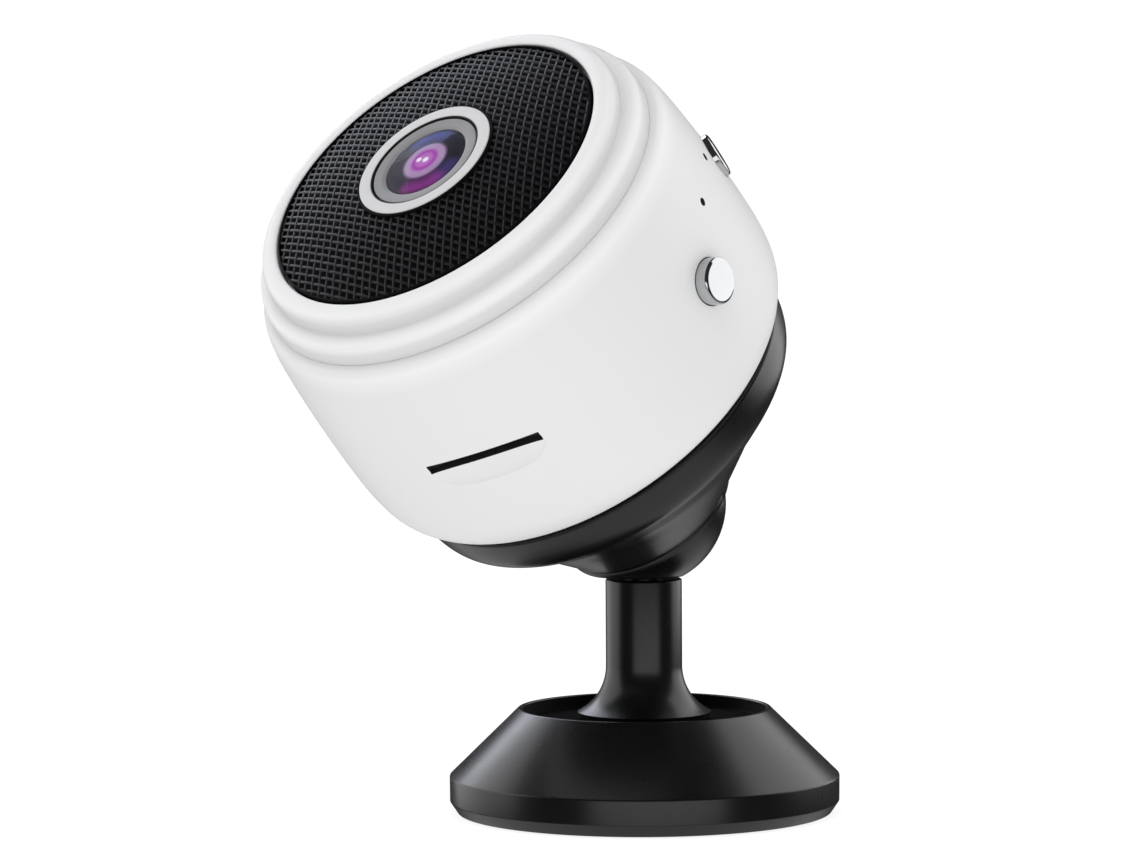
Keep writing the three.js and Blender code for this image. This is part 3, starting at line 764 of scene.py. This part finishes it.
def make_screw(node, place, turn):
    """A pan-head screw with a cross recess; local Z points out of its head, and the head's top is at 0."""
    outline = [(0, -4.2), (0.45, -4.2), (0.65, -3.9), (0.65, -0.7), (1.5, -0.7), (1.68, -0.6)]
    outline += flow([(1.7, -0.45), (1.55, -0.18), (1.1, -0.04), (0.5, 0.0)], 4) + [(0, 0)]
    screw = revolve(f"{node}_fine", outline, place, materials["steel"], 64)
    arms = []
    for quarter in (0, 90):
        spin = Matrix.Rotation(math.radians(turn + quarter), 4, "Z")
        arm = rounded_box(f"{node}_arm_{quarter}", (1.9, 0.36, 1.0), place @ spin, materials["steel"], 0.05)
        arms.append(arm)
    boolean(screw, arms)
    settle(screw, "camera_head", "steel", node)


# ------------------------------------------------------------------ head: front panel and lens

WEAVE_OUTER = 16.55
WEAVE_INNER = 7.25
DOME_RISE = 1.8
WEAVE_FAMILIES = ((-8.5, 0.765), (117.5, 0.86))
STRAND_HALF_WIDTH = 0.15
STRAND_HALF_THICKNESS = 0.042
STRAND_SWING = 0.015


def dome(radius):
    """Height of the panel's face above its edge."""
    return DOME_RISE * (1 - (radius / PANEL_R) ** 2)


def make_panel():
    face = [(PANEL_R - 0.02, dome(16.7)), (16.68, dome(16.7) + 0.03), (WEAVE_OUTER, dome(WEAVE_OUTER) + 0.03),
            (WEAVE_OUTER - 0.05, dome(WEAVE_OUTER) - 0.35)]
    face += [(r, dome(r) - 0.35) for r in (15, 13.5, 12, 10.5, 9, 8)]
    face += [
        (WEAVE_INNER, dome(7.2) - 0.35), (WEAVE_INNER - 0.05, dome(7.2) + 0.02), (6.95, dome(7.0) + 0.02)]
    outline = [(radius, PANEL_H + rise) for radius, rise in face]
    outline += [(6.95, level(1.2)), (PANEL_R - 0.02, level(1.2))]
    backing = revolve("front_panel_backing", outline, HEAD, materials["panel_black"], 192)
    settle(backing, "camera_head", "panel_black", "front_panel")
    weave = new_object("front_panel_weave", weave_mesh(), HEAD, strand_material(), sharp=60)
    settle(weave, "camera_head", "panel_black")


def weave_mesh():
    """Two families of flat strands that pass over and under each other, on the domed panel."""
    points = []
    faces = []
    frames = []
    for angle, pitch in WEAVE_FAMILIES:
        along = Vector((math.cos(math.radians(angle)), math.sin(math.radians(angle))))
        frames.append((along, Vector((-along.y, along.x)), pitch))
    section = [(math.cos(math.pi * k / 4), math.sin(math.pi * k / 4)) for k in range(8)]
    for family, (along, across, pitch) in enumerate(frames):
        other_across = frames[1 - family][1]
        other_pitch = frames[1 - family][2]
        side = 1 if family == 0 else -1
        count = int(WEAVE_OUTER / pitch)
        for number in range(-count, count + 1):
            offset = number * pitch
            reach = math.sqrt(max(WEAVE_OUTER ** 2 - offset ** 2, 0))
            gap = math.sqrt(WEAVE_INNER ** 2 - offset ** 2) if abs(offset) < WEAVE_INNER else 0
            spans = [(-reach, -gap), (gap, reach)] if gap else [(-reach, reach)]
            for start, end in spans:
                if end - start < 0.5:
                    continue
                steps = max(3, round((end - start) / 0.17))
                first = len(points)
                for i in range(steps + 1):
                    spot = across * offset + along * (start + (end - start) * i / steps)
                    crossings = number + spot.dot(other_across) / other_pitch
                    swing = STRAND_SWING * side * math.cos(math.pi * crossings)
                    height = PANEL_H + dome(spot.length) - 0.16 + swing
                    for wide, thick in section:
                        edge = spot + across * (wide * STRAND_HALF_WIDTH)
                        points.append((edge.x, edge.y, height + thick * STRAND_HALF_THICKNESS))
                for i in range(steps):
                    for k in range(8):
                        a = first + i * 8 + k
                        b = first + i * 8 + (k + 1) % 8
                        faces.append((a, b, b + 8, a + 8))
                faces.append([first + k for k in range(8)])
                faces.append([first + steps * 8 + k for k in range(8)])
    return mesh_from("front_panel_weave", points, faces)


def make_lens():
    ring = rounded([
        (LENS_BORE_R, level(1.9), 0), (LENS_RING_R, level(1.9), 0), (LENS_RING_R, level(LENS_FRONT), 0.08),
        (LENS_BORE_R, level(LENS_FRONT), 0.06)])
    settle(revolve("lens_ring_fine", ring, HEAD, materials["ring_white"], 160),
           "camera_head", "white_plastic", "lens_ring")

    # A thin black lining inside the ring's bore, so the groove between the ring and the bezel shows dark:
    # painted shade.
    groove_shade_top = level(LENS_FRONT + 0.07)
    sleeve = rounded([
        (LENS_BORE_R - 0.13, level(1.8), 0), (LENS_BORE_R - 0.01, level(1.8), 0),
        (LENS_BORE_R - 0.01, groove_shade_top, 0), (LENS_BORE_R - 0.13, groove_shade_top, 0.05)])
    settle(revolve("lens_groove_painted_shade", sleeve, HEAD, materials["barrel_black"], 160),
           "camera_head", "barrel_black")

    rim = LENS_BORE_R - 0.27
    bezel = rounded([
        (GLASS_R + 0.05, level(0.2), 0), (rim, level(0.2), 0), (rim, level(LENS_FRONT + 0.14), 0.1),
        (GLASS_R + 0.35, level(LENS_FRONT + 0.2), 0.2), (GLASS_R + 0.05, level(LENS_FRONT + 0.34), 0.06)])
    settle(revolve("lens_bezel_fine", bezel, HEAD, materials["grey_plastic"], 160),
           "camera_head", "grey_plastic", "lens_bezel")

    edge = GLASS_R - 0.02
    well = by_depth(
        [(0, 0.15), (5.2, 0.15), (5.2, 0.05), (5.5, 0.05), (5.5, -0.02), (edge, -0.02), (edge, -1.2)]
        + flow([(4.1, -1.24), (3.4, -1.34), (2.8, -1.42), (2.4, -1.46)], 5)
        + [(2.36, -1.43)] + flow([(2.3, -1.44), (1.7, -1.5), (0.9, -1.54), (0.35, -1.55)], 6) + [(0, -1.55)])
    element = revolve("lens_inner_element", well, HEAD, lens_painted_reflections(), 128)
    settle(element, "camera_head", "lens_glass", "lens_aperture")

    steps = [edge * (1 - i / 10) for i in range(10)]
    outer = [(radius, -1.74 + 0.34 * (radius / edge) ** 2) for radius in steps] + [(0, -1.74)]
    inner = [(0, -1.66)] + [(radius, -1.66 + 0.34 * (radius / edge) ** 2) for radius in reversed(steps)]
    front = revolve("lens_front_glass_fine", by_depth(outer + inner), HEAD, clear_glass(), 128)
    settle(front, "camera_head", "lens_glass", "lens_front_glass")


def make_buttons():
    for name, place, top in (("reset_button", RESET, RESET_TOP), ("power_button", POWER, POWER_TOP)):
        cap = rounded([
            (0, 19.6, 0), (BUTTON_R + 0.7, 19.6, 0), (BUTTON_R + 0.7, 20.05, 0), (BUTTON_R, 20.05, 0),
            (BUTTON_R, top - 0.1, 0.22), (BUTTON_R - 0.3, top, 0.2), (0, top, 0)])
        button = revolve(f"{name}_fine", cap, side_place(place), materials["chrome"], 96)
        settle(button, name, "chrome", name)


def make_usb():
    """The socket behind the opening on the hidden side: a rounded metal sleeve with a tongue."""
    nickel = materials["nickel"]
    sleeve = rounded_box("usb_socket_fine", (7.5, 2.6, 5.4), side_place(USB, 17.4), nickel, 0.03, 1.15)
    mouth = rounded_box("usb_mouth", (6.9, 2.0, 4.6), side_place(USB, 18.4), nickel, 0, 0.95)
    boolean(sleeve, [mouth])
    tongue = rounded_box("usb_tongue", (5.4, 0.7, 4.0), side_place(USB, 17.4), materials["chip_black"], 0.1)
    settle(sleeve, "camera_head", "nickel", "usb_socket")
    settle(tongue, "camera_head", "chip_black")


# ------------------------------------------------------------------ carried-over CAD nodes

def finish_inner_nodes():
    """Each CAD node that stays gets the procedural material of its slot."""
    slots = {
        "base_weight": "steel", "stem_washer": "steel", "stem_screw": "steel", "back_plate": "steel",
        "board_screw_1": "steel", "board_screw_2": "steel", "board_screw_3": "steel",
        "lens_barrel": "barrel_black", "lens_holder": "barrel_black", "lens_rear_glass": "led_clear",
        "image_sensor": "chip_black", "processor": "chip_black", "reset_switch": "chip_black",
        "power_switch": "chip_black", "ir_board": "circuit_board", "main_board": "circuit_board",
        "card_socket": "nickel", "microphone": "nickel", "battery": "cell_silver", "wifi_antenna": "copper",
        "status_led": "led_clear",
    }
    for number in range(1, 7):
        slots[f"ir_led_{number}"] = "led_clear"
    for node, slot in slots.items():
        thing = frame["nodes"][node]
        for index in range(len(thing.material_slots)):
            thing.material_slots[index].material = materials[slot]


# ------------------------------------------------------------------ floor, light and camera

CAMERA_PLACE = (0.36526, -0.38381, 0.07505)
CAMERA_HEADING = 44.343
CAMERA_PITCH = 4.066
CAMERA_ROLL = -0.322
FOCAL_LENGTH = 173.7
AIM = Vector((0, 0, 0.035))


def make_camera():
    data = bpy.data.cameras.new("camera")
    data.lens = FOCAL_LENGTH
    data.sensor_width = 36
    data.clip_start = 0.01
    camera = bpy.data.objects.new("camera", data)
    bpy.context.scene.collection.objects.link(camera)
    turn = (Matrix.Rotation(math.radians(CAMERA_HEADING), 4, "Z")
            @ Matrix.Rotation(math.radians(90 - CAMERA_PITCH), 4, "X")
            @ Matrix.Rotation(math.radians(CAMERA_ROLL), 4, "Z"))
    camera.matrix_world = Matrix.Translation(CAMERA_PLACE) @ turn
    bpy.context.scene.camera = camera


def softbox(name, bearing, elevation, distance, width, height, radiance, diffuse=True, glossy=True,
            color=(1, 1, 1)):
    """An area light that faces the object. Bearing 0 is behind the camera and 90 is on its right."""
    data = bpy.data.lights.new(name, "AREA")
    data.shape = "RECTANGLE"
    data.size = width
    data.size_y = height
    data.energy = radiance * math.pi * width * height
    data.color = color
    light = bpy.data.objects.new(name, data)
    bpy.context.scene.collection.objects.link(light)
    around = math.radians(CAMERA_HEADING + bearing)
    up = math.radians(elevation)
    away = Vector((math.sin(around) * math.cos(up), -math.cos(around) * math.cos(up), math.sin(up)))
    light.location = AIM + away * distance
    light.rotation_euler = away.to_track_quat("Z", "Y").to_euler()
    light.visible_camera = False
    light.visible_diffuse = diffuse
    light.visible_glossy = glossy
    return light


def make_world():
    """White for the camera, soft grey for diffuse light, and a dark room with a pale floor in reflections."""
    world = bpy.data.worlds.new("studio")
    bpy.context.scene.world = world
    world.use_nodes = True
    tree = world.node_tree
    tree.nodes.clear()
    output = tree.nodes.new("ShaderNodeOutputWorld")
    path = tree.nodes.new("ShaderNodeLightPath")
    where = tree.nodes.new("ShaderNodeTexCoord")
    apart = tree.nodes.new("ShaderNodeSeparateXYZ")
    tree.links.new(where.outputs["Generated"], apart.inputs["Vector"])
    slope = tree.nodes.new("ShaderNodeMapRange")
    slope.interpolation_type = "SMOOTHSTEP"
    slope.inputs["From Min"].default_value = -0.25
    slope.inputs["From Max"].default_value = -0.6
    slope.inputs["To Min"].default_value = 0.04
    slope.inputs["To Max"].default_value = 0.75
    tree.links.new(apart.outputs["Z"], slope.inputs["Value"])

    def light(strength, color=(1, 1, 1)):
        node = tree.nodes.new("ShaderNodeBackground")
        node.inputs["Color"].default_value = (*color, 1)
        node.inputs["Strength"].default_value = strength
        return node

    def mix(factor, low, high):
        node = tree.nodes.new("ShaderNodeMixShader")
        tree.links.new(factor, node.inputs["Fac"])
        tree.links.new(low, node.inputs[1])
        tree.links.new(high, node.inputs[2])
        return node.outputs["Shader"]

    reflected = light(1.0)
    tree.links.new(slope.outputs["Result"], reflected.inputs["Strength"])
    soft = light(0.6)
    seen = light(1.1)
    lit = mix(path.outputs["Is Glossy Ray"], soft.outputs["Background"], reflected.outputs["Background"])
    shown = mix(path.outputs["Is Camera Ray"], lit, seen.outputs["Background"])
    tree.links.new(shown, output.inputs["Surface"])


def make_floor():
    mesh = bpy.data.meshes.new("floor")
    half = 3.0
    corners = [(-half, -half, 0), (half, -half, 0), (half, half, 0), (-half, half, 0)]
    mesh.from_pydata(corners, [], [(0, 1, 2, 3)])
    finish = Finish("floor", (0.3, 0.3, 0.3), 0.8, specular=0.0)
    finish.tint(finish.noise(2, 2), 0.004)
    finish.set("Emission Color", (1, 1, 1, 1))
    finish.set("Emission Strength", 0.86)
    mesh.materials.append(finish.material)
    floor = bpy.data.objects.new("floor", mesh)
    bpy.context.scene.collection.objects.link(floor)
    floor.visible_glossy = False


def make_lights():
    softbox("left_wall", -114, 16, 1.1, 1.6, 1.15, 1.38, diffuse=False)
    softbox("back_left", -157, 33, 1.1, 0.5, 0.6, 2.5, diffuse=False, color=(0.92, 0.96, 1.1))
    softbox("right_wall", 120, 26, 1.1, 1.2, 1.3, 1.65, diffuse=False)
    softbox("front_panel_light", 7, -7, 1.3, 2.1, 0.42, 1.45, diffuse=False)
    softbox("key", -34, 62, 1.2, 0.9, 0.9, 1.7, glossy=False)
    softbox("fill", 35, 5, 1.2, 0.9, 0.9, 1.1, glossy=False)


bpy.context.scene.view_settings.view_transform = "Standard"
materials = make_materials()
materials["casing"] = painted_shade_casing()
make_camera()
make_world()
make_floor()
make_lights()
make_stand()
make_ball()
make_dish()
make_bezel()
make_shell()
make_back()
make_panel()
make_lens()
make_buttons()
make_usb()
finish_inner_nodes()
